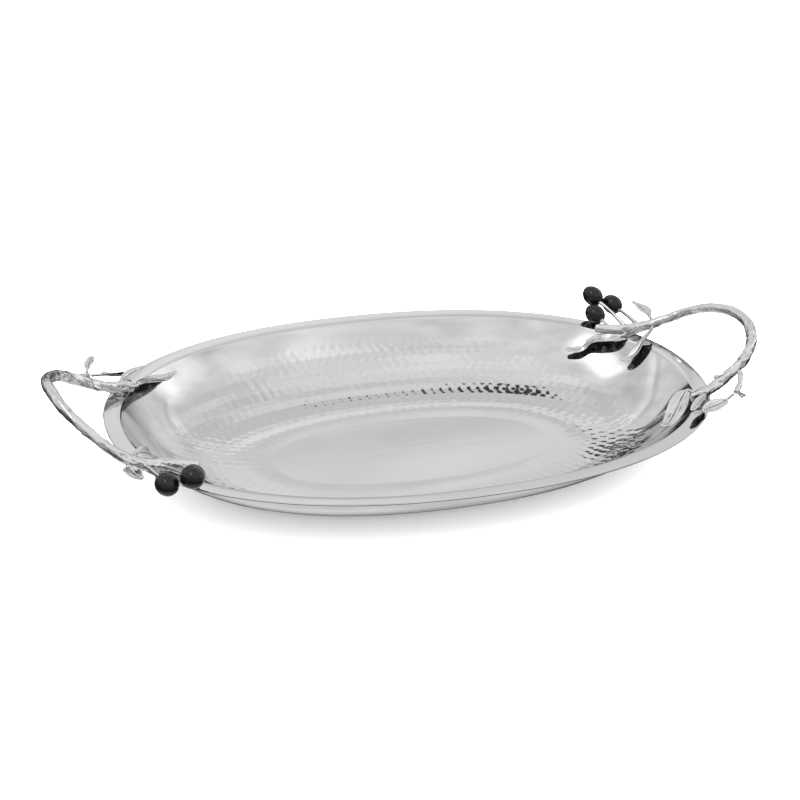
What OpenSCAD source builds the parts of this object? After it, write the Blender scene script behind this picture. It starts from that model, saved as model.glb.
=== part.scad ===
// Oval serving tray: one pressed and hammered stainless steel bowl with a plain flat rim,
// and two cast olive-branch handles, each screwed to the rim from beneath by two feet.
// Leaves, the forked twig and the olive stems are separate castings with round pegs that
// sit in blind sockets in the branch. Millimetres, origin at the middle of the base, +Z up.

/* [Tray] */
// Length of the tray over the rim
tray_len = 440; // [430:1:450]
// Width of the tray over the rim
tray_wid = 287; // [281:1:293]
// Height of the rim above the table
tray_h = 44; // [40:1:50]
// Thickness of the steel sheet
sheet = 1.2; // [1:0.1:1.5]
// Width of the plain rim
rim_w = 11.5; // [11:0.1:12.5]
// Fall of the rim from its outer edge to its inner edge
rim_fall = 1.2; // [0.8:0.1:1.6]
// Length of the flat base
base_len = 206; // [160:1:240]
// Width of the flat base
base_wid = 88; // [70:1:110]
// Squareness of the oval, where 2 is a true ellipse
oval_power = 2.2; // [2.1:0.05:2.3]
// Steepness of the wall near the rim
wall_power = 3.2; // [2.4:0.1:3.6]

/* [Handles] */
// Thickness of the branch at the middle of the grip
grip_d = 7; // [6.4:0.1:7.6]
// Thickness of the branch above its feet
foot_bar_d = 8.4; // [8:0.1:8.8]
// Height of the branch's middle above the rim at its feet
foot_rise = 4.4; // [4.4:0.1:4.8]
// Distance of the olive-side foot from the long axis
olive_foot_y = 61; // [60:0.5:62]
// Distance of the leaf-side foot from the long axis
leaf_foot_y = 54; // [53.5:0.5:55]
// Diameter of the round pad under each foot
pad_d = 8.4; // [8:0.1:9.2]
// Thickness of the leaf blades
leaf_t = 1.6; // [1.2:0.1:2]
// Depth of the fold along a leaf, as a share of its half width
leaf_fold = 0.3; // [0:0.05:0.5]

/* [Olives] */
// Diameter of an olive
olive_d = 14.6; // [14:0.1:15]
// Length of an olive
olive_len = 18.6; // [17:0.1:18.8]
// Diameter of the stem that carries an olive
stem_d = 3; // [2.6:0.1:3.4]

/* [Fasteners] */
// Diameter of the handle screws
screw_d = 3; // [2.5:0.5:3]
// Diameter of the screw heads
head_d = 5.6; // [5:0.1:6]
// Height of the screw heads
head_h = 2; // [1.6:0.1:2.4]
// Length of the screws under the head
screw_len = 5.6; // [5:0.1:6]
// Outer diameter of the washers
washer_d = 7; // [6:0.1:7.4]
// Thickness of the washers
washer_t = 0.5; // [0.4:0.1:0.6]

/* [Hidden] */

STEEL = [0.80, 0.81, 0.82];
NICKEL = [0.72, 0.72, 0.71];
OLIVE_BLACK = [0.05, 0.05, 0.06];
ZINC = [0.62, 0.64, 0.66];

fit = 0.05;             // clearance of pegs, washers and feet on each side
thread_fit = 0.03;      // clearance of a screw in the thread of its foot
washer_fit = 0.1;       // clearance of a screw in its washer
hole_fit = 0.2;         // clearance of a screw in the hole through the rim
ring_pts = 96;          // points round each ring of the bowl
wall_rings = 10;        // rings between the flat base and the rim
branch_sides = 14;      // sides of the swept branch
twig_sides = 10;        // sides of the swept twig
route_steps = 3;        // steps between two neighbouring points of a route
leaf_steps = 3;         // steps between two neighbouring points of a leaf's midrib
peg_d = 3;              // pegs of the leaves and of the twig
peg_start = 2.6;        // distance of a peg's end from the branch's middle at a foot
slim_peg_start = 1.7;   // and where the branch is slimmer
peg_reach = 7;          // distance at which a socket has left the branch

rim_a = tray_len / 2;
rim_b = tray_wid / 2;
seat_a = rim_a - rim_w / 2;
seat_b = rim_b - rim_w / 2;
rim_tilt = atan(rim_fall / rim_w);
$fn = 32;

// Vectors
function unit(v) = v / norm(v);
function mix(a, b, u) = a * (1 - u) + b * u;

// A smooth curve through a list of points, with a few steps between each two
function spline_at(p, i, u) =
    let (a = p[max(i - 1, 0)], b = p[i], c = p[i + 1], d = p[min(i + 2, len(p) - 1)])
    0.5 * (2 * b + (c - a) * u + (2 * a - 5 * b + 4 * c - d) * u * u
        + (3 * b - a - 3 * c + d) * u * u * u);
function spline(p, steps) = concat(
    [for (i = [0 : len(p) - 2], k = [0 : steps - 1]) spline_at(p, i, k / steps)],
    [p[len(p) - 1]]);
function tangent(p, i) = unit(p[min(i + 1, len(p) - 1)] - p[max(i - 1, 0)]);

// Points of one oval ring, and where an oval stands at a distance y from its long axis
function signed_power(v, e) = sign(v) * pow(abs(v), e);
function oval(a, b, z) = [
    for (k = [0 : ring_pts - 1])
        let (t = 360 * (k + 0.5) / ring_pts)
        [a * signed_power(cos(t), 2 / oval_power), b * signed_power(sin(t), 2 / oval_power), z]
];
function oval_x(y, a, b) = a * pow(1 - pow(abs(y) / b, oval_power), 1 / oval_power);
function oval_heading(y, a, b) =
    atan2(sign(y) * pow(abs(y), oval_power - 1) / pow(b, oval_power),
        pow(oval_x(y, a, b), oval_power - 1) / pow(a, oval_power));

// Closed skin over a stack of rings that all have the same number of points
module skin(rings) {
    n = len(rings[0]);
    last = len(rings) - 1;
    points = [for (r = rings) each r];
    sides = [
        for (i = [0 : last - 1], k = [0 : n - 1])
            let (m = (k + 1) % n)
            each [
                [i * n + k, (i + 1) * n + k, i * n + m],
                [i * n + m, (i + 1) * n + k, (i + 1) * n + m]
            ]
    ];
    first_cap = [for (k = [0 : n - 1]) k];
    last_cap = [for (k = [n - 1 : -1 : 0]) last * n + k];
    polyhedron(points, concat(sides, [first_cap, last_cap]), convexity = 10);
}

// Round bar between two points
module rod(from, to, d) {
    v = to - from;
    translate(from)
        rotate([0, acos(v[2] / norm(v)), atan2(v[1], v[0])])
            cylinder(d = d, h = norm(v));
}

// ---- Tray ----

// Height of the bowl's inside at a share u of the way from the base to the rim
function wall_z(u) = sheet + (tray_h - rim_fall - sheet) * pow(u, wall_power);
function wall_a(u) = mix(base_len / 2, rim_a - rim_w, u);
function wall_b(u) = mix(base_wid / 2, rim_b - rim_w, u);
function wall_slope(u) =
    atan((tray_h - rim_fall - sheet) * wall_power * pow(u, wall_power - 1)
        / ((rim_a - rim_w - base_len / 2 + rim_b - rim_w - base_wid / 2) / 2));

module bowl_skin() {
    inside = [
        for (k = [0 : wall_rings])
            let (u = k / wall_rings)
            oval(wall_a(u), wall_b(u), wall_z(u))
    ];
    rim = [
        oval(rim_a, rim_b, tray_h),
        oval(rim_a, rim_b, tray_h - sheet)
    ];
    under_bend = wall_slope(1) / 2;
    outside = [
        for (k = [wall_rings : -1 : 0])
            let (u = k / wall_rings, bend = k == wall_rings ? under_bend : wall_slope(u),
                out = sheet * (k == wall_rings ? tan(under_bend) : sin(bend)),
                down = sheet * (k == wall_rings ? 1 : cos(bend)))
            oval(wall_a(u) + out, wall_b(u) + out, wall_z(u) - down)
    ];
    skin(concat(inside, rim, outside));
}

module tray_bowl() {
    color(STEEL)
        difference() {
            bowl_skin();
            for (side = [0, 1], y = [olive_foot_y, -leaf_foot_y])
                on_handle(side)
                    at_foot(y)
                        translate([0, 0, -3 * sheet])
                            cylinder(d = screw_d + 2 * hole_fit, h = 6 * sheet);
        }
}

// ---- Places on the tray ----

// Side 0 is the right handle, and side 1 is the left one, half a turn round
module on_handle(side) {
    rotate([0, 0, 180 * side])
        translate([0, 0, tray_h])
            children();
}

// The middle of the rim under a foot, with +Z square to the rim's face
module at_foot(y) {
    translate([oval_x(y, seat_a, seat_b), y, -rim_fall / 2])
        rotate([0, 0, oval_heading(y, seat_a, seat_b)])
            rotate([0, -rim_tilt, 0])
                children();
}

// ---- Branch ----

// The branch's middle line from the long cut stub on the olive side, over the loop of the
// grip, to the cut knob on the leaf side, measured from the middle of the rim's plane
olive_foot = [oval_x(olive_foot_y, seat_a, seat_b), olive_foot_y, foot_rise];
leaf_foot = [oval_x(leaf_foot_y, seat_a, seat_b), -leaf_foot_y, foot_rise];
branch_route = [
    [172.2, 68.5, 4.6], [183.8, 64.3, 4.2],
    olive_foot,
    [207.3, 60, 5.4], [217, 57, 9], [228, 51.2, 15.8], [237.6, 44.2, 22.8], [246.2, 33.6, 29.2],
    [252.5, 20.4, 33.8], [255.8, 6, 36.2], [256.8, -8.4, 36], [254.2, -21, 33.6], [248.9, -32, 29.4],
    [241.4, -39.8, 24.2], [231.4, -45.2, 18], [220.2, -48.6, 11.8], [210.6, -51.4, 7.4],
    leaf_foot,
    [196.8, -55, 4.2], [190, -55.4, 2]
];
stub_end_r = 2.9;
knob_r = 3.3;
// A side twig that was sawn off short above the leaf-side foot
sawn_twig = [-3.8, 7, -1.6];
sawn_twig_d = 4.2;
branch_r = [
    stub_end_r, 3.4, foot_bar_d / 2, 3.9, 3.6, 3.2, 3.1, 3.2,
    3.3, grip_d / 2, grip_d / 2, 3.5, 3.6,
    3.7, 3.7, 3.5, 3.6, foot_bar_d / 2, 3.8, knob_r
];
stub_root = branch_route[1];
olive_foot_root = branch_route[2];
outer_root = branch_route[3];
bud_root = branch_route[4];
twig_root = branch_route[14];
cut_root = branch_route[15];
blade_root = branch_route[17];
knob_root = branch_route[18];

function sweep_rings(p, r, sides) = [
    for (i = [0 : len(p) - 1])
        let (t = tangent(p, i), s = unit(cross([0, 0, 1], t)), w = cross(t, s))
        [for (k = [0 : sides - 1])
            let (q = 360 * k / sides)
            p[i] + r[i] * (cos(q) * s + sin(q) * w)]
];

module branch(side) {
    middle = spline(branch_route, route_steps);
    radius = spline(branch_r, route_steps);
    color(NICKEL)
        on_handle(side)
            difference() {
                union() {
                    skin(sweep_rings(middle, radius, branch_sides));
                    for (y = [olive_foot_y, -leaf_foot_y])
                        at_foot(y)
                            translate([0, 0, fit])
                                cylinder(d = pad_d, h = foot_rise);
                    rod(cut_root, cut_root + sawn_twig, sawn_twig_d);
                }
                for (y = [olive_foot_y, -leaf_foot_y])
                    at_foot(y)
                        translate([0, 0, -1])
                            cylinder(d = screw_d + 2 * thread_fit, h = screw_len);
                for (q = sockets)
                    socket(q[0], q[1], q[2], q[3]);
            }
}

// Blind socket that starts beside a root on the middle line and runs out of the branch
module socket(root, towards, d, start) {
    way = unit(towards - root);
    rod(root + way * (start - 0.3), root + way * peg_reach, d + 2 * fit);
}

module peg(root, towards, d, start) {
    rod(root + unit(towards - root) * start, towards, d);
}

// ---- Leaves ----

// Midribs, each from the end of the leaf's stalk to its tip
inner_rib = [[190.4, 55.4, 2.2], [181, 57.2, 0.2], [172.6, 63.6, -2.8], [167.4, 68.8, -8.6],
    [160, 69.6, -13.4], [150.7, 72.6, -12.8]];
rim_rib = [[212.2, 50.6, 7.6], [206.5, 45.4, 5.8], [200, 41, 1.8], [193.6, 38.4, -4.8],
    [187.5, 38, -9], [182, 39.8, -9.8]];
bud_rib = [[218.4, 64.6, 9.8], [219, 70.4, 10.4], [218.4, 77.4, 11], [217, 84.6, 12],
    [214.4, 91, 13.4]];
large_rib = [[190.6, -49.4, 6.2], [184.6, -54.6, 6], [176.6, -62.6, 2.4], [169, -70.4, -1.4],
    [161.5, -77, -3.2], [154, -81.6, -1.8]];
blade_rib = [[197.6, -61.4, 6.6], [191.4, -66.8, 6.8], [184.8, -73.2, 6.6], [178, -79.4, 6]];
trailing_rib = [[214, -69.4, 8.2], [207, -72.8, 6.4], [200, -73.8, 4.6], [193.5, -75.4, 3.8],
    [187, -78.8, 4]];
fork_rib = [[219.8, -72, 11.8], [218.2, -76, 12.8], [216, -80.4, 14], [213.8, -84.8, 15.6]];

// Forked twig that stands off the branch and carries two leaves
twig_route = [[230.2, -52.8, 16], [226.8, -59.4, 13], [222, -65, 10.4], [219.4, -67.6, 9.4]];
twig_r = [1.9, 1.9, 2.3, 2.5];
twig_knot = [220.6, -66.4, 9.9];

// Root, centre of the olive and start of the peg of each stem
olive_stems = [
    [olive_foot_root, [185.2, 102.3, 16], peg_start],
    [stub_root, [180.6, 86.4, 7.6], slim_peg_start],
    [outer_root, [200, 96.4, 9.8], slim_peg_start]
];

// Root, end, size and start of every socket in the branch
sockets = [
    [olive_foot_root, inner_rib[0], peg_d, peg_start],
    [bud_root, rim_rib[0], peg_d, slim_peg_start],
    [bud_root, bud_rib[0], peg_d, slim_peg_start],
    [twig_root, twig_route[0], peg_d, slim_peg_start],
    [blade_root, blade_rib[0], peg_d, peg_start],
    [knob_root, large_rib[0], peg_d, slim_peg_start],
    for (q = olive_stems) [q[0], q[1], stem_d, q[2]]
];

// Share of the full half width at a share u of the leaf's length
function leaf_width(u) = 0.16 + 0.84 * pow(sin(180 * pow(u, 0.85)), 0.8) * (1 - 0.15 * u);

module blade(rib, half_width, face, fold = leaf_fold) {
    middle = spline(rib, leaf_steps);
    last = len(middle) - 1;
    rings = [
        for (i = [0 : last])
            let (t = tangent(middle, i), s = unit(cross(face, t)), w = cross(t, s),
                h = half_width * leaf_width(i / last), rise = fold * h)
            [
                middle[i] + s * h + w * (rise + leaf_t / 4),
                middle[i] + w * leaf_t / 2,
                middle[i] - s * h + w * (rise + leaf_t / 4),
                middle[i] - s * h + w * (rise - leaf_t / 4),
                middle[i] - w * leaf_t / 2,
                middle[i] + s * h + w * (rise - leaf_t / 4)
            ]
    ];
    skin(rings);
}

module leaf(side, root, rib, half_width, face, start = slim_peg_start) {
    color(NICKEL)
        on_handle(side)
            union() {
                peg(root, rib[0] + unit(rib[0] - root) * 0.8, peg_d, start);
                blade(rib, half_width, face);
            }
}

module inner_leaf(side)
    leaf(side, olive_foot_root, inner_rib, 3.6, [-0.16, -0.42, 0.89], peg_start);
module rim_leaf(side) leaf(side, bud_root, rim_rib, 3.8, [-0.8, 0.1, 0.65]);
module bud_leaf(side) leaf(side, bud_root, bud_rib, 3.8, [0.1, 0, 1]);
module large_leaf(side) leaf(side, knob_root, large_rib, 5.4, [0, -0.1, 1]);
module blade_leaf(side) leaf(side, blade_root, blade_rib, 3, [0.3, 0.5, 0.8], peg_start);
module trailing_leaf(side)
    leaf(side, twig_knot, trailing_rib, 4, [-0.16, -0.42, 0.89], peg_start);
module fork_leaf(side) leaf(side, twig_knot, fork_rib, 3, [0.9, -0.1, 0.4], peg_start);

module fork_twig(side) {
    middle = spline(twig_route, route_steps);
    color(NICKEL)
        on_handle(side)
            difference() {
                union() {
                    peg(twig_root, twig_route[0] + unit(twig_route[0] - twig_root), peg_d,
                        slim_peg_start);
                    skin(sweep_rings(middle, spline(twig_r, route_steps), twig_sides));
                }
                for (rib = [trailing_rib, fork_rib])
                    rod(twig_knot + unit(rib[0] - twig_knot) * 1.2,
                        twig_knot + unit(rib[0] - twig_knot) * peg_reach, peg_d + 2 * fit);
            }
}

// ---- Olives ----

stem_in_olive = 5;      // how far a stem reaches into its olive
function olive_turn(u) = olive_d / 2 * pow(sin(180 * u), 0.9);

// The olive's own axis points away from the root of its stem
module along_stem(root, middle) {
    v = middle - root;
    translate(middle)
        rotate([0, acos(v[2] / norm(v)), atan2(v[1], v[0])])
            children();
}

module stem(side, q) {
    color(NICKEL)
        on_handle(side)
            rod(q[0] + unit(q[1] - q[0]) * q[2],
                q[1] - unit(q[1] - q[0]) * (olive_len / 2 - stem_in_olive), stem_d);
}

module olive(side, q) {
    steps = 14;
    color(OLIVE_BLACK)
        on_handle(side)
            along_stem(q[0], q[1])
                difference() {
                    rotate_extrude($fn = 48)
                        polygon([
                            [0, -olive_len / 2],
                            for (k = [1 : steps - 1])
                                let (u = k / steps)
                                [olive_turn(u), -olive_len / 2 * cos(180 * u)],
                            [0, olive_len / 2]
                        ]);
                    translate([0, 0, -olive_len / 2 - 1])
                        cylinder(d = stem_d + 2 * fit, h = stem_in_olive + 1.2);
                }
}

// ---- Screws and washers under the rim ----

slot_w = 0.7;           // width of the cross slot in a screw's head

module foot_screws(side) {
    color(ZINC)
        on_handle(side)
            for (y = [olive_foot_y, -leaf_foot_y])
                at_foot(y)
                    translate([0, 0, -sheet - washer_t - 2 * fit])
                        difference() {
                            union() {
                                cylinder(d = screw_d, h = screw_len);
                                translate([0, 0, -head_h])
                                    cylinder(d = head_d, h = head_h - fit);
                                translate([0, 0, -head_h / 2])
                                    cylinder(d = screw_d, h = head_h);
                            }
                            for (turn = [0, 90])
                                rotate([0, 0, turn])
                                    translate([-head_d / 3, -slot_w / 2, -head_h - 1])
                                        cube([head_d * 2 / 3, slot_w, 2]);
                        }
}

module foot_washers(side) {
    color(ZINC)
        on_handle(side)
            for (y = [olive_foot_y, -leaf_foot_y])
                at_foot(y)
                    translate([0, 0, -sheet - washer_t - fit])
                        difference() {
                            cylinder(d = washer_d, h = washer_t);
                            translate([0, 0, -1])
                                cylinder(d = screw_d + 2 * washer_fit, h = washer_t + 2);
                        }
}

tray_bowl();
branch(0);  // right_branch
fork_twig(0);  // right_fork_twig
inner_leaf(0);  // right_inner_leaf
rim_leaf(0);  // right_rim_leaf
bud_leaf(0);  // right_bud_leaf
large_leaf(0);  // right_large_leaf
blade_leaf(0);  // right_blade_leaf
trailing_leaf(0);  // right_trailing_leaf
fork_leaf(0);  // right_fork_leaf
stem(0, olive_stems[0]);  // right_upper_stem
stem(0, olive_stems[1]);  // right_inner_stem
stem(0, olive_stems[2]);  // right_outer_stem
olive(0, olive_stems[0]);  // right_upper_olive
olive(0, olive_stems[1]);  // right_inner_olive
olive(0, olive_stems[2]);  // right_outer_olive
foot_screws(0);  // right_foot_screws
foot_washers(0);  // right_foot_washers
branch(1);  // left_branch
fork_twig(1);  // left_fork_twig
inner_leaf(1);  // left_inner_leaf
rim_leaf(1);  // left_rim_leaf
bud_leaf(1);  // left_bud_leaf
large_leaf(1);  // left_large_leaf
blade_leaf(1);  // left_blade_leaf
trailing_leaf(1);  // left_trailing_leaf
fork_leaf(1);  // left_fork_leaf
stem(1, olive_stems[0]);  // left_upper_stem
stem(1, olive_stems[1]);  // left_inner_stem
stem(1, olive_stems[2]);  // left_outer_stem
olive(1, olive_stems[0]);  // left_upper_olive
olive(1, olive_stems[1]);  // left_inner_olive
olive(1, olive_stems[2]);  // left_outer_olive
foot_screws(1);  // left_foot_screws
foot_washers(1);  // left_foot_washers
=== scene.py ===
import math
import random

import bmesh
import bpy
from mathutils import Matrix, Vector, noise
from mathutils.kdtree import KDTree


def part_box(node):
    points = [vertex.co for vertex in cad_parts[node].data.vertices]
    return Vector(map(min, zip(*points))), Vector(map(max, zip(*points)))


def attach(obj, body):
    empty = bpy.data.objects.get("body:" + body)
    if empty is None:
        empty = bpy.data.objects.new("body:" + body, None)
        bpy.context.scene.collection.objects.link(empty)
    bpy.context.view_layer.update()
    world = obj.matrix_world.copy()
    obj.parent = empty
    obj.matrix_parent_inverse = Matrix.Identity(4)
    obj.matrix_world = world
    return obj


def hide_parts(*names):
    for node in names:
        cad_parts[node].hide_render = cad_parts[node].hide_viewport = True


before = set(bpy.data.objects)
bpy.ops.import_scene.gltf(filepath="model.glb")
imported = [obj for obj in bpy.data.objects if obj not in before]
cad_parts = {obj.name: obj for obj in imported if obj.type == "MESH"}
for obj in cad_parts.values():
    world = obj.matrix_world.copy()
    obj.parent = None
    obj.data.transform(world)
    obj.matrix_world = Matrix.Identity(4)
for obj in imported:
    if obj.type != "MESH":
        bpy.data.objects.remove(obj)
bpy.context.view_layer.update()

MM = 0.001

# ---- Tray bowl ----
# One oval of polished stainless sheet, pressed to a shallow bowl with a plain, slightly
# sloping rim and a flat base. The inside is hammered by hand in rows that follow the rim;
# the rim itself and the top of the wall at the two ends are left plain.

tray_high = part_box("tray_bowl")[1]
RIM_HALF_LENGTH = tray_high.x / MM
RIM_HALF_WIDTH = tray_high.y / MM
RIM_HEIGHT = tray_high.z / MM
OVAL_POWER = 2.2
RIM_WIDTH = 11.5
RIM_FALL = 1.2
SHEET = 1.2
BASE_HALF_LENGTH = 103
BASE_HALF_WIDTH = 44
WALL_POWER = 3.2
BASE_DISH = 0.7         # how much lower the inside is at its middle
BASE_SHARE = 0.38       # share of the grid's radius that the flat base takes
BOWL_GRID = (330, 216)


def signed_power(value, exponent):
    return math.copysign(abs(value) ** exponent, value)


def oval_point(cosine, sine, half_length, half_width):
    return (half_length * signed_power(cosine, 2 / OVAL_POWER),
            half_width * signed_power(sine, 2 / OVAL_POWER))


def wall_height(rise):
    """Height of the bowl's inside, for a share of the way from the base to the rim."""
    return SHEET + (RIM_HEIGHT - RIM_FALL - SHEET) * max(rise, 0) ** WALL_POWER


def wall_oval(rise):
    half_length = BASE_HALF_LENGTH + (RIM_HALF_LENGTH - RIM_WIDTH - BASE_HALF_LENGTH) * rise
    half_width = BASE_HALF_WIDTH + (RIM_HALF_WIDTH - RIM_WIDTH - BASE_HALF_WIDTH) * rise
    return half_length, half_width


def wall_slope(rise):
    span = (RIM_HALF_LENGTH - BASE_HALF_LENGTH + RIM_HALF_WIDTH - BASE_HALF_WIDTH) / 2 - RIM_WIDTH
    return math.atan((RIM_HEIGHT - RIM_FALL - SHEET) * WALL_POWER * rise ** (WALL_POWER - 1) / span)


def bowl_point(across, along):
    """A point of the smooth inside, from a square grid wrapped to a round one."""
    cosine = across * math.sqrt(1 - along * along / 2)
    sine = along * math.sqrt(1 - across * across / 2)
    radius = math.hypot(cosine, sine)
    if radius < 1e-9:
        return Vector((0, 0, SHEET - BASE_DISH))
    if radius < BASE_SHARE:
        half_length = BASE_HALF_LENGTH * radius / BASE_SHARE
        half_width = BASE_HALF_WIDTH * radius / BASE_SHARE
        height = SHEET + BASE_DISH * ((radius / BASE_SHARE) ** 2 - 1)
    else:
        rise = (radius - BASE_SHARE) / (1 - BASE_SHARE)
        half_length, half_width = wall_oval(rise)
        height = wall_height(rise)
    return Vector((*oval_point(cosine / radius, sine / radius, half_length, half_width), height))


def grow_ring(bm, edges, start, end, height):
    """Extrudes a closed oval of edges from one oval to the next one, and returns the new edges."""
    grown = bmesh.ops.extrude_edge_only(bm, edges=edges)["geom"]
    verts = {g for g in grown if isinstance(g, bmesh.types.BMVert)}
    for vert in verts:
        cosine = signed_power(vert.co.x / start[0], OVAL_POWER / 2)
        sine = signed_power(vert.co.y / start[1], OVAL_POWER / 2)
        size = math.hypot(cosine, sine)
        vert.co = Vector((*oval_point(cosine / size, sine / size, *end), height))
    return [g for g in grown if isinstance(g, bmesh.types.BMEdge) and set(g.verts) <= verts]


bowl = bmesh.new()
bmesh.ops.create_grid(bowl, x_segments=BOWL_GRID[0], y_segments=BOWL_GRID[1], size=1)
for vert in bowl.verts:
    vert.co = bowl_point(vert.co.x, vert.co.y)
inside_verts = list(bowl.verts)

inner_edge = wall_oval(1)
outer_edge = (RIM_HALF_LENGTH, RIM_HALF_WIDTH)
under_slope = wall_slope(1) / 2
profile = [
    ((inner_edge[0] + 0.5, inner_edge[1] + 0.5), RIM_HEIGHT - RIM_FALL + 0.12),
    ((inner_edge[0] + 4, inner_edge[1] + 4), RIM_HEIGHT - RIM_FALL * 0.62),
    ((outer_edge[0] - 1, outer_edge[1] - 1), RIM_HEIGHT - 0.08),
    ((outer_edge[0] - 0.25, outer_edge[1] - 0.25), RIM_HEIGHT - 0.05),
    ((outer_edge[0], outer_edge[1]), RIM_HEIGHT - 0.3),
    ((outer_edge[0], outer_edge[1]), RIM_HEIGHT - SHEET + 0.25),
    ((outer_edge[0] - 0.3, outer_edge[1] - 0.3), RIM_HEIGHT - SHEET),
    ((inner_edge[0] + SHEET * math.tan(under_slope),
      inner_edge[1] + SHEET * math.tan(under_slope)), RIM_HEIGHT - RIM_FALL - SHEET),
]
UNDER_RINGS = 12
for k in range(UNDER_RINGS - 1, -1, -1):
    rise = (k / UNDER_RINGS) ** 0.8
    slope = wall_slope(rise)
    half_length, half_width = wall_oval(rise)
    out = SHEET * math.sin(slope)
    profile.append(((half_length + out, half_width + out), wall_height(rise) - SHEET * math.cos(slope)))
edges = [edge for edge in bowl.edges if edge.is_boundary]
start = inner_edge
for end, height in profile:
    edges = grow_ring(bowl, edges, start, end, height)
    start = end
bmesh.ops.edgeloop_fill(bowl, edges=edges)
bmesh.ops.recalc_face_normals(bowl, faces=bowl.faces)

# The hammer rows: each blow leaves a shallow round hollow, and neighbours meet in soft ridges
BLOW_SPACING = 7.3
ROW_SPACING = 6.5
BLOW_DEPTH = 0.2
BLOW_REACH = 4.1
HAMMERED_OVAL = (176, 127)
FADE = 0.05
BASE_SHALLOW = 0.06     # the blows are lighter on the base
BASE_FADE = 1.4         # and reach their full depth at this height above it
hand = random.Random(11)
rows = []
inset = 2.5
while inset < RIM_HALF_WIDTH - RIM_WIDTH - 3:
    rows.append((inner_edge[0] - inset, inner_edge[1] - inset))
    rise = max(0, 1 - inset / (RIM_HALF_WIDTH - RIM_WIDTH - BASE_HALF_WIDTH))
    inset += ROW_SPACING * math.cos(wall_slope(rise))


def height_at(x, y):
    """Height of the smooth inside over a point of the plan, found by halving."""
    low, high = -1.0, 1.0
    for _ in range(24):
        rise = (low + high) / 2
        if rise < 0:
            size = 1 + rise
            half_length, half_width = BASE_HALF_LENGTH * size + 1e-6, BASE_HALF_WIDTH * size + 1e-6
        else:
            half_length, half_width = wall_oval(rise)
        if abs(x / half_length) ** OVAL_POWER + abs(y / half_width) ** OVAL_POWER > 1:
            low = rise
        else:
            high = rise
    return wall_height(high)


blows = []
for number, (half_length, half_width) in enumerate(rows):
    around = 2 * math.pi * math.sqrt((half_length ** 2 + half_width ** 2) / 2)
    steps = 900
    walk = [Vector(oval_point(math.cos(2 * math.pi * k / steps), math.sin(2 * math.pi * k / steps),
                              half_length, half_width)) for k in range(steps + 1)]
    travelled = BLOW_SPACING / 2 if number % 2 else 0
    for here, there in zip(walk, walk[1:]):
        travelled += (there - here).length
        if travelled >= BLOW_SPACING:
            travelled -= BLOW_SPACING
            x = here.x + hand.uniform(-0.55, 0.55)
            y = here.y + hand.uniform(-0.55, 0.55)
            blows.append((Vector((x, y, height_at(x, y))), hand.uniform(0.75, 1.15)))
nearest = KDTree(len(blows))
for number, blow in enumerate(blows):
    nearest.insert(blow[0], number)
nearest.balance()

bowl.normal_update()
moves = []
for vert in inside_verts:
    edge_share = (abs(vert.co.x / HAMMERED_OVAL[0]) ** OVAL_POWER
                  + abs(vert.co.y / HAMMERED_OVAL[1]) ** OVAL_POWER) ** (1 / OVAL_POWER)
    strength = min(1, max(0, (1 - edge_share) / FADE))
    strength *= BASE_SHALLOW + (1 - BASE_SHALLOW) * min(1, max(0, (vert.co.z - SHEET) / BASE_FADE))
    if strength > 0:
        found = nearest.find_n(vert.co, 2)
        depth = 0
        for (_, number, distance), weight in zip(found, (0.8, 0.2)):
            depth += weight * blows[number][1] * max(0, 1 - (distance / BLOW_REACH) ** 2)
        moves.append((vert, vert.normal * (-BLOW_DEPTH * strength * depth)))
for vert, move in moves:
    vert.co += move
bmesh.ops.scale(bowl, vec=(MM, MM, MM), verts=bowl.verts)


def add_piece(bm, name, material, smooth=True):
    """Puts a finished bmesh into the scene as a piece that sits at the origin."""
    mesh = bpy.data.meshes.new(name)
    bm.to_mesh(mesh)
    bm.free()
    if smooth:
        mesh.shade_smooth()
    piece = bpy.data.objects.new(name, mesh)
    bpy.context.scene.collection.objects.link(piece)
    mesh.materials.append(material)
    return piece


def new_material(name, colour, metallic, roughness):
    """A Principled material, and its tree and shader."""
    material = bpy.data.materials.new(name)
    material.use_nodes = True
    shader = material.node_tree.nodes["Principled BSDF"]
    shader.inputs["Base Color"].default_value = (*colour, 1)
    shader.inputs["Metallic"].default_value = metallic
    shader.inputs["Roughness"].default_value = roughness
    return material, material.node_tree, shader


def new_group(name, inputs, outputs):
    """A node group with named float inputs and outputs."""
    group = bpy.data.node_groups.new(name, "ShaderNodeTree")
    for label, value in inputs:
        socket = group.interface.new_socket(label, in_out="INPUT", socket_type="NodeSocketFloat")
        socket.default_value = value
    for label, kind in outputs:
        group.interface.new_socket(label, in_out="OUTPUT", socket_type=kind)
    return group, group.nodes.new("NodeGroupInput"), group.nodes.new("NodeGroupOutput")


def add_node(tree, kind, **values):
    """A node with its properties or named inputs set."""
    node = tree.nodes.new(kind)
    for key, value in values.items():
        if key in node.inputs:
            node.inputs[key].default_value = value
        else:
            setattr(node, key, value)
    return node


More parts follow.
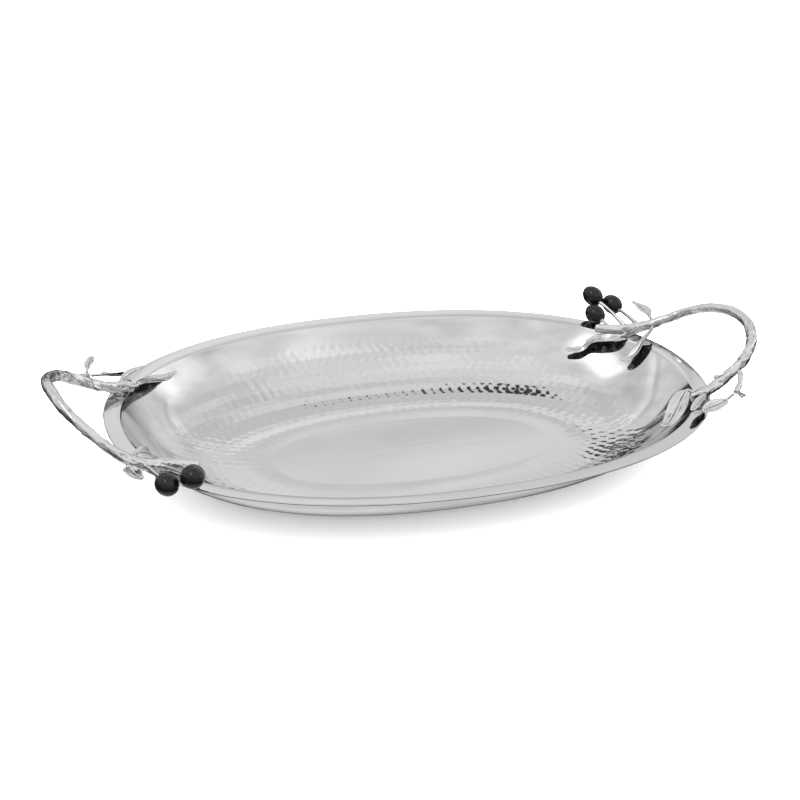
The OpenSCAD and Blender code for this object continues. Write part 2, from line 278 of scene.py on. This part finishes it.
# Polish marks: cloudy patches and hair-fine scratches left by the buffing wheel
polish, polish_in, polish_out = new_group(
    "polish marks",
    [("Patch Scale", 40.0), ("Scratch Scale", 900.0), ("Low", 0.05), ("High", 0.12)],
    [("Roughness", "NodeSocketFloat"), ("Height", "NodeSocketFloat")])
place = add_node(polish, "ShaderNodeTexCoord")
patches = add_node(polish, "ShaderNodeTexNoise", Detail=4.0, Roughness=0.6)
stretch = add_node(polish, "ShaderNodeMapping")
stretch.inputs["Scale"].default_value = (1, 0.12, 0.3)
stretch.inputs["Rotation"].default_value = (0, 0, 0.5)
scratches = add_node(polish, "ShaderNodeTexNoise", Detail=6.0, Roughness=0.7)
blend = add_node(polish, "ShaderNodeMapRange")
links = polish.links
links.new(place.outputs["Object"], patches.inputs["Vector"])
links.new(place.outputs["Object"], stretch.inputs["Vector"])
links.new(stretch.outputs["Vector"], scratches.inputs["Vector"])
links.new(polish_in.outputs["Patch Scale"], patches.inputs["Scale"])
links.new(polish_in.outputs["Scratch Scale"], scratches.inputs["Scale"])
links.new(patches.outputs["Fac"], blend.inputs["Value"])
links.new(polish_in.outputs["Low"], blend.inputs["To Min"])
links.new(polish_in.outputs["High"], blend.inputs["To Max"])
links.new(blend.outputs["Result"], polish_out.inputs["Roughness"])
links.new(scratches.outputs["Fac"], polish_out.inputs["Height"])

BUMP_HEIGHT = 0.0002


def use_polish(tree, shader, low, high, bump):
    """Places the polish marks in a material, with its own range of roughness."""
    marks = add_node(tree, "ShaderNodeGroup", node_tree=polish)
    marks.inputs["Low"].default_value = low
    marks.inputs["High"].default_value = high
    dent = add_node(tree, "ShaderNodeBump", Strength=bump, Distance=BUMP_HEIGHT)
    tree.links.new(marks.outputs["Height"], dent.inputs["Height"])
    tree.links.new(marks.outputs["Roughness"], shader.inputs["Roughness"])
    tree.links.new(dent.outputs["Normal"], shader.inputs["Normal"])
    return marks


def tint(tree, shader, dark, light, scale):
    """Slow change of colour over a piece, between two close tones."""
    coords = add_node(tree, "ShaderNodeTexCoord")
    cloud = add_node(tree, "ShaderNodeTexNoise", Scale=scale, Detail=3.0)
    tones = add_node(tree, "ShaderNodeMix", data_type="RGBA")
    tones.inputs["A"].default_value = (*dark, 1)
    tones.inputs["B"].default_value = (*light, 1)
    tree.links.new(coords.outputs["Object"], cloud.inputs["Vector"])
    tree.links.new(cloud.outputs["Fac"], tones.inputs["Factor"])
    tree.links.new(tones.outputs["Result"], shader.inputs["Base Color"])
    return tones


tray_steel, tree, shader = new_material("polished tray steel", (0.68, 0.68, 0.69), 1, 0.08)
use_polish(tree, shader, 0.05, 0.1, 0.02)
tint(tree, shader, (0.66, 0.66, 0.67), (0.72, 0.72, 0.73), 18)
tray_piece = add_piece(bowl, "hammered_bowl", tray_steel)
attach(tray_piece, "root")
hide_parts("tray_bowl")

# ---- Handle branches ----
# Each handle is one nickel-plated casting in the shape of a bent olive branch, with rough bark that
# is smoother on the grip, a sawn-off twig and two feet that stand on the rim. The left casting
# is the right one turned half round. A screw from beneath holds each foot.

RIM_PLANE = Vector((0, 0, RIM_HEIGHT))
SIDES_OF_TRAY = (("right", 0), ("left", math.pi))
BRANCH_ROUTE = [
    ((172.2, 68.5, 4.6), 3.1), ((183.8, 64.3, 4.2), 3.6), ((197.2, 61, 4.4), 4.3),
    ((207.3, 60, 5.4), 4.1), ((217, 57, 9), 3.9), ((228, 51.2, 15.8), 3.6), ((237.6, 44.2, 22.8), 3.5),
    ((246.2, 33.6, 29.2), 3.6), ((252.5, 20.4, 33.8), 3.8), ((255.8, 6, 36.2), 4.0),
    ((256.8, -8.4, 36), 4.0), ((254.2, -21, 33.6), 4.0), ((248.9, -32, 29.4), 4.0),
    ((241.4, -39.8, 24.2), 4.0), ((231.4, -45.2, 18), 3.9), ((220.2, -48.6, 11.8), 3.7),
    ((210.6, -51.4, 7.4), 3.8), ((201.4, -54, 4.4), 4.3), ((196.8, -55, 4.2), 3.9),
    ((190, -55.4, 2), 3.5),
]
OLIVE_FOOT = Vector((197.2, 61, 0))
LEAF_FOOT = Vector((201.4, -54, 0))
FOOT_RADIUS = 4.2
FOOT_FALL = math.atan(RIM_FALL / RIM_WIDTH)
SAWN_TWIG = [((220.2, -48.6, 11.8), 2.4), ((218.1, -44.8, 10.9), 1.9), ((216.2, -41.2, 10.1), 2.1)]
SMOOTH_STRETCH = (0.36, 0.66)   # where the bark is smoother, as shares of its length
STRETCH_FADE = 0.08
SMOOTHING = 0.6
GRAIN, FINE_GRAIN, LUMPS = 0.22, 0.13, 0.12     # depths of the bark, as shares of the radius
VOXEL = 0.55


def flowing_line(points, step):
    """Even points with radii along a smooth curve through the given ones."""
    knots = [(Vector(point), radius) for point, radius in points]
    knots = [(knots[0][0] * 2 - knots[1][0], knots[0][1])] + knots
    knots.append((knots[-1][0] * 2 - knots[-2][0], knots[-1][1]))
    line = []
    for a, b, c, d in zip(knots, knots[1:], knots[2:], knots[3:]):
        parts = max(2, round((c[0] - b[0]).length / step))
        for k in range(parts):
            t = k / parts
            spot = ((b[0] * 2) + (c[0] - a[0]) * t + (a[0] * 2 - b[0] * 5 + c[0] * 4 - d[0]) * t ** 2
                    + (b[0] * 3 - a[0] - c[0] * 3 + d[0]) * t ** 3) / 2
            line.append((spot, b[1] + (c[1] - b[1]) * (3 * t * t - 2 * t ** 3)))
    line.append(knots[-2])
    return line


def frames_along(line, facing):
    """At each point of a line: the point, its radius, and two directions square to the line."""
    frames = []
    up = Vector(facing)
    for k, (spot, radius) in enumerate(line):
        ahead = (line[min(k + 1, len(line) - 1)][0] - line[max(k - 1, 0)][0]).normalized()
        up = (up - ahead * up.dot(ahead)).normalized()
        frames.append((spot, radius, ahead.cross(up), up))
    return frames


def skin(bm, around, frames, section):
    """Wraps a grid round a line: section gives each point's place across and up, and the
    two ends close to a point where the section does."""
    last = len(frames) - 1
    grid = bmesh.ops.create_grid(bm, x_segments=around, y_segments=last, size=1)["verts"]
    for vert in grid:
        turn = (vert.co.x + 1) * math.pi
        number = round((vert.co.y + 1) / 2 * last)
        spot, radius, across, up = frames[number]
        x, y, along = section(turn, number / last, radius)
        vert.co = spot + across * x + up * y + across.cross(up) * along
    bmesh.ops.remove_doubles(bm, verts=grid, dist=0.0005)


def rounded_end(share, length, blunt):
    """How much of its radius a rod keeps near its two ends, for a softly sawn end."""
    near = min(share, 1 - share) * length
    return 1 if near >= blunt else math.sqrt(max(0, 1 - (1 - near / blunt) ** 2))


def bark(turn, share, length):
    """Long wandering ridges and small knots of a young olive branch, as a share of the radius."""
    travel = share * length
    low, high = SMOOTH_STRETCH
    calm = min(1, max(0, (share - low) / STRETCH_FADE)) * min(1, max(0, (high - share) / STRETCH_FADE))
    twist = turn + travel * 0.045
    grain = noise.noise(Vector((math.cos(twist) * 1.7, math.sin(twist) * 1.7, travel * 0.075)))
    fine = noise.noise(Vector((math.cos(twist) * 4.2, math.sin(twist) * 4.2, travel * 0.3 + 40)))
    lumps = noise.noise(Vector((math.cos(turn), math.sin(turn), travel * 0.16 + 90)))
    return 1 + (grain * GRAIN + fine * FINE_GRAIN + lumps * LUMPS) * (1 - SMOOTHING * calm)


def rod(bm, points, around=24, step=0.8, blunt=1.4, rough=1.0):
    """A branch-like rod with a sawn end at both ends."""
    line = flowing_line(points, step)
    length = sum((b[0] - a[0]).length for a, b in zip(line, line[1:]))

    def section(turn, share, radius):
        size = radius * rounded_end(share, length, blunt)
        size *= 1 + (bark(turn, share, length) - 1) * rough
        return size * math.cos(turn), size * math.sin(turn), 0

    skin(bm, around, frames_along(line, (0, 0, 1)), section)


def foot(bm, spot):
    """A round pad, square to the sloping rim, that grows into the branch above it."""
    outward = Vector((signed_power(spot.x / RIM_HALF_LENGTH, OVAL_POWER - 1) / RIM_HALF_LENGTH,
                      signed_power(spot.y / RIM_HALF_WIDTH, OVAL_POWER - 1) / RIM_HALF_WIDTH, 0))
    outward.normalize()
    tilt = Vector((-outward.x * math.sin(FOOT_FALL), -outward.y * math.sin(FOOT_FALL),
                   math.cos(FOOT_FALL)))
    base = Vector((spot.x, spot.y, -RIM_FALL / 2))
    points = [(base, FOOT_RADIUS), (base + tilt * 2, FOOT_RADIUS * 0.92), (base + tilt * 5, 3.6)]
    line = flowing_line(points, 0.4)

    def section(turn, share, radius):
        size = radius * min(1, share * 14)
        return size * math.cos(turn), size * math.sin(turn), 0

    skin(bm, 32, frames_along(line, outward), section)


def fuse(bm, voxel):
    """Melts overlapping rods into one closed skin, as they are in the casting."""
    mesh = bpy.data.meshes.new("melt")
    bm.to_mesh(mesh)
    bm.free()
    melt = bpy.data.objects.new("melt", mesh)
    bpy.context.scene.collection.objects.link(melt)
    remesh = melt.modifiers.new("melt", "REMESH")
    remesh.mode = "VOXEL"
    remesh.voxel_size = voxel
    shaped = melt.evaluated_get(bpy.context.evaluated_depsgraph_get())
    fused = bmesh.new()
    fused.from_mesh(shaped.to_mesh())
    bpy.data.objects.remove(melt)
    bpy.data.meshes.remove(mesh)
    return fused


def mark_recesses(bm, gain):
    """Stores how hollow the surface is at each point, for the painted shade in crevices."""
    bm.normal_update()
    recess = bm.verts.layers.float.new("recess")
    for vert in bm.verts:
        around = [edge.other_vert(vert).co for edge in vert.link_edges]
        middle = sum(around, Vector()) / len(around)
        size = sum((co - vert.co).length for co in around) / len(around)
        vert[recess] = min(1, max(0, (middle - vert.co).dot(vert.normal) / size * gain))
    for _ in range(2):
        softer = [0.5 * vert[recess] + 0.5 * sum(edge.other_vert(vert)[recess]
                  for edge in vert.link_edges) / len(vert.link_edges) for vert in bm.verts]
        for vert, value in zip(bm.verts, softer):
            vert[recess] = value


def seat(bm, side_turn):
    """Puts a handle's piece in its place on the tray, in metres."""
    bmesh.ops.translate(bm, vec=RIM_PLANE, verts=bm.verts)
    bmesh.ops.rotate(bm, matrix=Matrix.Rotation(side_turn, 3, "Z"), verts=bm.verts)
    bmesh.ops.scale(bm, vec=(MM, MM, MM), verts=bm.verts)


def place_pair(bm, name, node, material):
    """Makes the same piece for the right handle and for the left one."""
    for side, side_turn in SIDES_OF_TRAY:
        copy = bm.copy()
        seat(copy, side_turn)
        piece = add_piece(copy, side + "_" + name, material)
        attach(piece, "root")
        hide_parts(side + "_" + node)
    bm.free()


# Crevice shade: grey painted shade in the hollows of a casting, stronger where the surface is more
# hollow, with ragged edges
crevice, crevice_in, crevice_out = new_group(
    "painted crevice shade",
    [("Amount", 1.0), ("Scale", 250.0)],
    [("Mask", "NodeSocketFloat")])
hollow = add_node(crevice, "ShaderNodeAttribute", attribute_name="recess")
place = add_node(crevice, "ShaderNodeTexCoord")
ragged = add_node(crevice, "ShaderNodeTexNoise", Detail=5.0, Roughness=0.65)
spread = add_node(crevice, "ShaderNodeMath", operation="MULTIPLY_ADD")
spread.inputs[2].default_value = -0.12
amount = add_node(crevice, "ShaderNodeMath", operation="MULTIPLY", use_clamp=True)
links = crevice.links
links.new(place.outputs["Object"], ragged.inputs["Vector"])
links.new(crevice_in.outputs["Scale"], ragged.inputs["Scale"])
links.new(hollow.outputs["Fac"], spread.inputs[0])
links.new(ragged.outputs["Fac"], spread.inputs[1])
links.new(spread.outputs["Value"], amount.inputs[0])
links.new(crevice_in.outputs["Amount"], amount.inputs[1])
links.new(amount.outputs["Value"], crevice_out.inputs["Mask"])


def cast_metal(name, light, dark, low, high, crevices):
    """Bright nickel on a cast piece: polished on the ridges, with painted shade in the hollows."""
    material, tree, shader = new_material(name, light, 1, low)
    marks = use_polish(tree, shader, low, high, 0.5)
    marks.inputs["Patch Scale"].default_value = 160
    marks.inputs["Scratch Scale"].default_value = 420
    tones = tint(tree, shader, [tone * 0.94 for tone in light], light, 90)
    mask = add_node(tree, "ShaderNodeGroup", node_tree=crevice)
    mask.inputs["Amount"].default_value = crevices
    # The dark colour is mixed in as painted shade where the surface is hollow
    painted_shade = add_node(tree, "ShaderNodeMix", data_type="RGBA")
    painted_shade.inputs["B"].default_value = (*dark, 1)
    tree.links.new(mask.outputs["Mask"], painted_shade.inputs["Factor"])
    tree.links.new(tones.outputs["Result"], painted_shade.inputs["A"])
    tree.links.new(painted_shade.outputs["Result"], shader.inputs["Base Color"])
    return material


# The dark grey and the last number set the painted shade in the branch's hollows
branch_metal = cast_metal("nickel-plated branch", (0.73, 0.72, 0.71), (0.05, 0.05, 0.05), 0.1, 0.22, 4)
branch = bmesh.new()
rod(branch, BRANCH_ROUTE)
rod(branch, SAWN_TWIG, around=16, step=0.5, blunt=0.7, rough=0.5)
foot(branch, OLIVE_FOOT)
foot(branch, LEAF_FOOT)
bmesh.ops.recalc_face_normals(branch, faces=branch.faces)
branch = fuse(branch, VOXEL)
bmesh.ops.smooth_vert(branch, verts=branch.verts, factor=0.5,
                      use_axis_x=True, use_axis_y=True, use_axis_z=True)
mark_recesses(branch, 9)
place_pair(branch, "olive_branch", "branch", branch_metal)

# ---- Leaf twig ----
# A thin forked shoot on the outside of each handle, nickel-plated like the branch and pegged
# into it. Two small leaves spring from the knot at its end.

FORK_TWIG = [((230.8, -48.8, 17), 1.9), ((230.2, -52.8, 16), 1.9), ((226.8, -59.4, 13), 1.9),
             ((222, -65, 10.4), 2.3), ((219.4, -67.6, 9.4), 2.5)]
twig = bmesh.new()
rod(twig, FORK_TWIG, around=18, step=0.5, blunt=2.2, rough=0.8)
bmesh.ops.recalc_face_normals(twig, faces=twig.faces)
mark_recesses(twig, 5)
place_pair(twig, "forked_twig", "fork_twig", branch_metal)

# ---- Leaves ----
# Seven cast and nickel-plated leaves on each handle, each pegged in place by its own short
# stalk. They are cupped and a little wavy, with a groove along the midrib and one on each
# side of it. The undersides are darkened with painted shade.

# The dark grey and the last number set the painted shade in the leaves' hollows and on their undersides
leaf_metal = cast_metal("nickel-plated leaf", (0.76, 0.755, 0.75), (0.04, 0.04, 0.04), 0.08, 0.2, 4.5)
STALK = 1.2
LEAVES = {
    # name: stalk and midrib, half width, way the leaf faces, share that is stalk
    "inner_leaf": ([(194.5, 58.8, 3.5), (190.4, 55.4, 2.2), (181, 57.2, 0.2), (172.6, 63.6, -2.8),
                    (167.4, 68.8, -8.6), (160, 69.6, -13.4), (150.7, 72.6, -12.8)],
                   4.0, (-0.16, -0.42, 0.89), 0.16),
    "rim_leaf": ([(214.6, 53.8, 8.4), (212.2, 50.6, 7.6), (206.5, 45.4, 5.8), (200, 41, 1.8),
                  (193.6, 38.4, -4.8), (187.5, 38, -9), (182, 39.8, -9.8)],
                 4.6, (-0.8, 0.1, 0.65), 0.14),
    "bud_leaf": ([(217.7, 60.8, 9.4), (218.4, 64.6, 9.8), (219, 70.4, 10.4), (218.4, 77.4, 11),
                  (217, 84.6, 12), (214.4, 91, 13.4)], 5.2, (0.1, 0, 1), 0.28),
    "large_leaf": ([(194.5, -53, 4.6), (190.6, -49.4, 6.2), (184.6, -54.6, 6), (176.6, -62.6, 2.4),
                    (169, -70.4, -1.4), (161.5, -77, -3.2), (154, -81.6, -1.8)],
                   6.4, (0, -0.1, 1), 0.16),
    "blade_leaf": ([(200, -57, 5.4), (197.6, -61.4, 6.6), (191.4, -66.8, 6.8), (184.8, -73.2, 6.6),
                    (178, -79.4, 6)], 3.6, (0.3, 0.5, 0.8), 0.16),
    "trailing_leaf": ([(218, -67.6, 9), (214, -69.4, 8.2), (207, -72.8, 6.4), (200, -73.8, 4.6),
                       (193.5, -75.4, 3.8), (187, -78.8, 4)],
                      4.9, (-0.16, -0.42, 0.89), 0.28),
    "fork_leaf": ([(220.2, -69, 10.8), (219.8, -72, 11.8), (218.2, -76, 12.8), (216, -80.4, 14),
                   (213.8, -84.8, 15.6)], 3.6, (0.3, 0.3, 0.85), 0.28),
}
LEAF_STEP = 0.55
LEAF_THICK = 0.85
UNDERSIDE_SHADE = 0.75        # how much painted shade the undersides get, as a recess
CUP, WAVE = 0.26, 0.16  # lift of the edges, as shares of the half width
MIDRIB_DEPTH = 0.95
SIDE_DEPTH = 0.3
KEEL_DEPTH = 0.5        # the ridge beneath the midrib


def leaf_profile(share, stalk):
    """Width of a leaf along its midrib, as a share of its widest, past the stalk."""
    if share <= stalk:
        return 0
    blade = (share - stalk) / (1 - stalk)
    return math.sin(math.pi * blade ** 0.8) ** 0.72


def cast_leaf(midrib, half_width, face, stalk, phase):
    """One leaf, from the end of its stalk to its tip, with painted shade on its underside."""
    face = Vector(face)
    points = [(point, STALK) for point in midrib]
    line = flowing_line(points, LEAF_STEP)
    last = len(line) - 1
    frames = []
    for k, (spot, radius) in enumerate(line):
        ahead = (line[min(k + 1, last)][0] - line[max(k - 1, 0)][0]).normalized()
        up = (face - ahead * face.dot(ahead)).normalized()
        frames.append((spot, radius, ahead.cross(up), up))

    def section(turn, share, radius):
        widen = leaf_profile(share, stalk)
        close = math.sqrt(max(0, 1 - max(0, (share - 0.97) / 0.03) ** 2))
        opening = math.sqrt(max(0, min(1, share / 0.03)))
        width = (radius * 0.9 + (half_width - radius * 0.9) * widen) * close * opening
        flat = min(1, widen * 2.5)
        thick = (radius * (1 - flat) + LEAF_THICK * flat) * close * opening
        x = width * math.cos(turn)
        reach = math.cos(turn)
        y = thick * math.sin(turn)
        cup = CUP * half_width * widen * reach * reach
        wave = WAVE * half_width * widen * math.sin(share * 8 + phase) * reach
        y += cup + wave
        if math.sin(turn) > 0:
            y -= MIDRIB_DEPTH * flat * math.exp(-(reach / 0.13) ** 2)
            y -= SIDE_DEPTH * flat * math.exp(-((abs(reach) - 0.5) / 0.12) ** 2)
        else:
            y -= KEEL_DEPTH * flat * math.exp(-(reach / 0.2) ** 2)
        return x, y, 0

    bm = bmesh.new()
    skin(bm, 40, frames, section)
    bmesh.ops.recalc_face_normals(bm, faces=bm.faces)
    mark_recesses(bm, 4)
    recess = bm.verts.layers.float["recess"]
    # Faces turned away from the leaf's face get painted shade through the recess mask
    for vert in bm.verts:
        if vert.normal.dot(face.normalized()) < -0.3:
            vert[recess] = max(vert[recess], UNDERSIDE_SHADE)
    return bm


for number, (name, shape) in enumerate(LEAVES.items()):
    leaf = cast_leaf(*shape, phase=number * 1.7)
    place_pair(leaf, "cast_" + name, name, leaf_metal)

# ---- Olive stems ----
# Three short tapered stems on each handle, nickel-plated and pegged into the branch. Each
# widens again at its end, inside its olive.

OLIVES = {
    # name: root on the branch, centre of the olive
    "upper": ((197.2, 61, 4.4), (185.2, 102.3, 16)),
    "inner": ((183.8, 64.3, 4.2), (180.6, 86.4, 7.6)),
    "outer": ((207.3, 60, 5.4), (200, 96.4, 9.8)),
}
OLIVE_LENGTH = 18.6
OLIVE_RADIUS = 7.3
# The dark grey and the last number set the painted shade in the stems' hollows
stem_metal = cast_metal("nickel-plated stem", (0.74, 0.73, 0.72), (0.12, 0.12, 0.12), 0.1, 0.2, 1.5)
for name, (root, centre) in OLIVES.items():
    root, centre = Vector(root), Vector(centre)
    along = (centre - root).normalized()
    end = centre - along * (OLIVE_LENGTH / 2 - 3)
    lift = Vector((0, 0, 0.8))
    stem = bmesh.new()
    rod(stem, [(root + along * 2, 2.1), (root.lerp(end, 0.35) + lift, 1.5),
               (root.lerp(end, 0.75) + lift, 1.25), (end - along * 3, 1.5), (end, 1.9)],
        around=18, step=0.5, blunt=0.8, rough=0.6)
    bmesh.ops.recalc_face_normals(stem, faces=stem.faces)
    mark_recesses(stem, 4)
    place_pair(stem, "tapered_" + name + "_stem", name + "_stem", stem_metal)

# ---- Olives ----
# Three black olives on each handle, moulded and lacquered to a high gloss, pressed and
# glued on the ends of the stems. They are a little longer than they are wide.

olive_black, tree, shader = new_material("black olive lacquer", (0.008, 0.008, 0.009), 0, 0.12)
shader.inputs["Specular IOR Level"].default_value = 0.4
marks = use_polish(tree, shader, 0.1, 0.17, 0.05)
marks.inputs["Scratch Scale"].default_value = 260
tint(tree, shader, (0.001, 0.001, 0.0012), (0.003, 0.0028, 0.0028), 140)
for name, (root, centre) in OLIVES.items():
    root, centre = Vector(root), Vector(centre)
    along = (centre - root).normalized()
    line = [(centre + along * OLIVE_LENGTH / 2 * -math.cos(math.pi * k / 44),
             OLIVE_RADIUS * math.sin(math.pi * k / 44)) for k in range(45)]

    def section(turn, share, radius):
        plump = 1 + 0.05 * math.sin(share * math.pi * 1.2 + 0.5) - 0.03
        lump = 0.012 * noise.noise(Vector((math.cos(turn), math.sin(turn), share * 3 + len(name))))
        dimple = 0.9 * math.exp(-(share / 0.09) ** 2)
        size = radius * (plump + lump)
        return size * math.cos(turn), size * math.sin(turn), dimple

    olive = bmesh.new()
    skin(olive, 48, frames_along(line, (1, 0, 0)), section)
    bmesh.ops.recalc_face_normals(olive, faces=olive.faces)
    place_pair(olive, "black_" + name + "_olive", name + "_olive", olive_black)

# ---- Foot screws and washers ----
# A small cross-headed screw and a plain washer under the rim hold each foot. Both are
# bare stainless steel, duller than the tray and faintly scratched.

fastener_steel, tree, shader = new_material("turned fastener steel", (0.55, 0.55, 0.56), 1, 0.3)
use_polish(tree, shader, 0.22, 0.38, 0.15)
tint(tree, shader, (0.5, 0.5, 0.51), (0.6, 0.6, 0.61), 300)
for side, side_turn in SIDES_OF_TRAY:
    for part in ("foot_screws", "foot_washers"):
        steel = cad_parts[side + "_" + part]
        for slot in steel.material_slots:
            slot.material = fastener_steel

# ---- Camera ----
# A long lens, a little above the tray and turned to its left, tilted by a few degrees.

VIEW_AZIMUTH = math.radians(-20.8)
VIEW_ELEVATION = math.radians(26.9)
VIEW_ROLL = math.radians(3.2)
VIEW_DISTANCE = 1.214
VIEW_LENS = 76.9
VIEW_CENTRE = Vector((-0.00105, 0.00065, tray_high.z))
VIEW_SHIFT = (0.0096, 0.003)    # how far the aim lies to the left of that centre, and below it
back = Vector((math.sin(VIEW_AZIMUTH) * math.cos(VIEW_ELEVATION),
               -math.cos(VIEW_AZIMUTH) * math.cos(VIEW_ELEVATION), math.sin(VIEW_ELEVATION)))
level = Vector((math.cos(VIEW_AZIMUTH), math.sin(VIEW_AZIMUTH), 0))
right = level * math.cos(VIEW_ROLL) + back.cross(level) * math.sin(VIEW_ROLL)
upward = back.cross(right)
aim = VIEW_CENTRE - right * VIEW_SHIFT[0] - upward * VIEW_SHIFT[1]
camera_data = bpy.data.cameras.new("camera")
camera_data.lens = VIEW_LENS
camera = bpy.data.objects.new("camera", camera_data)
camera.matrix_world = Matrix.Translation(aim + back * VIEW_DISTANCE) @ Matrix(
    (right, upward, back)).transposed().to_4x4()
bpy.context.scene.collection.objects.link(camera)
bpy.context.scene.camera = camera

# ---- Floor and light ----
# A plain white table in a white studio. The metal reflects pale walls that turn dark just below
# the table's height, a lamp with a bright core on the left, weaker lights on the right, and
# three dark cards.

floor_mesh = bmesh.new()
bmesh.ops.create_grid(floor_mesh, x_segments=2, y_segments=2, size=6)
floor_material, tree, shader = new_material("white table", (0.93, 0.93, 0.93), 0, 0.6)
tint(tree, shader, (0.93, 0.93, 0.93), (0.95, 0.95, 0.95), 2)
floor = add_piece(floor_mesh, "floor", floor_material, smooth=False)
floor.visible_glossy = False

# Brightness of the studio by elevation in degrees, on the far side and behind the camera
FAR_SIDE = [(-90, 0.8), (-58, 0.78), (-44, 0.4), (-36, 0.06), (-8, 0.05), (2, 0.25), (9, 0.55),
            (15, 0.74), (20, 0.86), (28.6, 0.88), (29, 0.7), (31.2, 0.71), (31.7, 1.0), (34, 0.98),
            (36, 0.8), (46, 0.76), (56, 0.84), (66, 0.9), (90, 0.95)]
NEAR_SIDE = [(-90, 0.8), (-58, 0.7), (-44, 0.1), (-15, 0.1), (-6, 0.4), (28, 0.45), (38, 0.86),
             (48, 0.92), (70, 0.94), (90, 0.95)]

# Azimuth from the far side, elevation, width, height and softness of each, and its grey
LIGHTS_AND_CARDS = [
    ((-85, 59, 38, 15, 0.12), 1.7),
    ((-85, 60, 12, 6, 0.03), 8),
    ((140, 46, 30, 18, 0.25), 1.05),
    ((95, 22, 30, 32, 0.15), 1.3),
    ((100, -14, 60, 22, 0.1), 0.04),
    ((23, 57, 5, 12, 0.02), 0.04),
    ((-2, 13, 30, 12, 0.03), 0.05),
]
TABLE_LIGHT = 4.0
BLOTCH_RANGE = (0.8, 1.14)

world = bpy.data.worlds.new("studio")
world.use_nodes = True
bpy.context.scene.world = world
studio = world.node_tree
links = studio.links
direction = add_node(studio, "ShaderNodeTexCoord").outputs["Generated"]
parts = add_node(studio, "ShaderNodeSeparateXYZ")
links.new(direction, parts.inputs["Vector"])


def math_node(operation, first, second=None, third=None, clamp=False):
    """One step of arithmetic on the studio's directions."""
    node = add_node(studio, "ShaderNodeMath", operation=operation, use_clamp=clamp)
    for socket, value in zip(node.inputs, (first, second, third)):
        if isinstance(value, (int, float)):
            socket.default_value = value
        elif value is not None:
            links.new(value, socket)
    return node.outputs["Value"]


def by_elevation(levels):
    """A band of grey for each elevation."""
    height = math_node("ARCSINE", parts.outputs["Z"])
    share = math_node("MULTIPLY_ADD", height, 1 / math.pi, 0.5)
    band = add_node(studio, "ShaderNodeValToRGB")
    links.new(share, band.inputs["Fac"])
    stops = band.color_ramp.elements
    while len(stops) < len(levels):
        stops.new(0.5)
    for stop, (elevation, grey) in zip(stops, levels):
        stop.position = (elevation + 90) / 180
        stop.color = (grey, grey, grey, 1)
    return band.outputs["Color"]


def lamp_mask(azimuth, elevation, width, height, softness):
    """One where a direction falls on a rectangular lamp or card, and nothing elsewhere."""
    azimuth, elevation = math.radians(azimuth), math.radians(elevation)
    centre = Vector((math.sin(azimuth) * math.cos(elevation), math.cos(azimuth) * math.cos(elevation),
                     math.sin(elevation)))
    across = Vector((math.cos(azimuth), -math.sin(azimuth), 0))
    rise = across.cross(centre)
    dots = []
    for axis in (centre, across, rise):
        dot = add_node(studio, "ShaderNodeVectorMath", operation="DOT_PRODUCT")
        links.new(direction, dot.inputs[0])
        dot.inputs[1].default_value = axis
        dots.append(dot.outputs["Value"])
    ahead = math_node("MAXIMUM", dots[0], 0.001)
    mask = math_node("GREATER_THAN", dots[0], 0.01)
    for dot, size in ((dots[1], width), (dots[2], height)):
        reach = math_node("ABSOLUTE", math_node("DIVIDE", dot, ahead))
        gap = math_node("SUBTRACT", math.tan(math.radians(size / 2)), reach)
        edge = math_node("MULTIPLY_ADD", gap, 1 / softness, 0.5, clamp=True)
        mask = math_node("MULTIPLY", mask, edge)
    return mask


def lay_over(under, mask, grey):
    """Puts the grey of a lamp or card over what is behind it."""
    over = add_node(studio, "ShaderNodeMix", data_type="RGBA")
    links.new(mask, over.inputs["Factor"])
    links.new(under, over.inputs["A"])
    over.inputs["B"].default_value = (grey, grey, grey, 1)
    return over.outputs["Result"]


nearness = math_node("MULTIPLY_ADD", parts.outputs["Y"], -2.2, 0.35, clamp=True)
sides = add_node(studio, "ShaderNodeMix", data_type="RGBA")
links.new(nearness, sides.inputs["Factor"])
links.new(by_elevation(FAR_SIDE), sides.inputs["A"])
links.new(by_elevation(NEAR_SIDE), sides.inputs["B"])
room = sides.outputs["Result"]
for place, grey in LIGHTS_AND_CARDS:
    room = lay_over(room, lamp_mask(*place), grey)

# The walls are not quite even, so the hammer marks catch a little light and dark everywhere
blotches = add_node(studio, "ShaderNodeTexNoise", Scale=5.5, Detail=3.0, Roughness=0.6)
links.new(direction, blotches.inputs["Vector"])
uneven = add_node(studio, "ShaderNodeMapRange")
links.new(blotches.outputs["Fac"], uneven.inputs["Value"])
uneven.inputs["From Min"].default_value = 0.3
uneven.inputs["From Max"].default_value = 0.7
uneven.inputs["To Min"].default_value = BLOTCH_RANGE[0]
uneven.inputs["To Max"].default_value = BLOTCH_RANGE[1]
shaded = add_node(studio, "ShaderNodeMix", data_type="RGBA", blend_type="MULTIPLY")
shaded.inputs["Factor"].default_value = 1
links.new(room, shaded.inputs["A"])
links.new(uneven.outputs["Result"], shaded.inputs["B"])
room = shaded.outputs["Result"]

# The table and the background see an even white, and only reflections see the room
paths = add_node(studio, "ShaderNodeLightPath")
background = studio.nodes["Background"]
even = add_node(studio, "ShaderNodeMix", data_type="RGBA")
even.inputs["A"].default_value = (TABLE_LIGHT, TABLE_LIGHT, TABLE_LIGHT, 1)
links.new(paths.outputs["Is Glossy Ray"], even.inputs["Factor"])
links.new(room, even.inputs["B"])
links.new(even.outputs["Result"], background.inputs["Color"])
bpy.context.scene.view_settings.view_transform = "Standard"
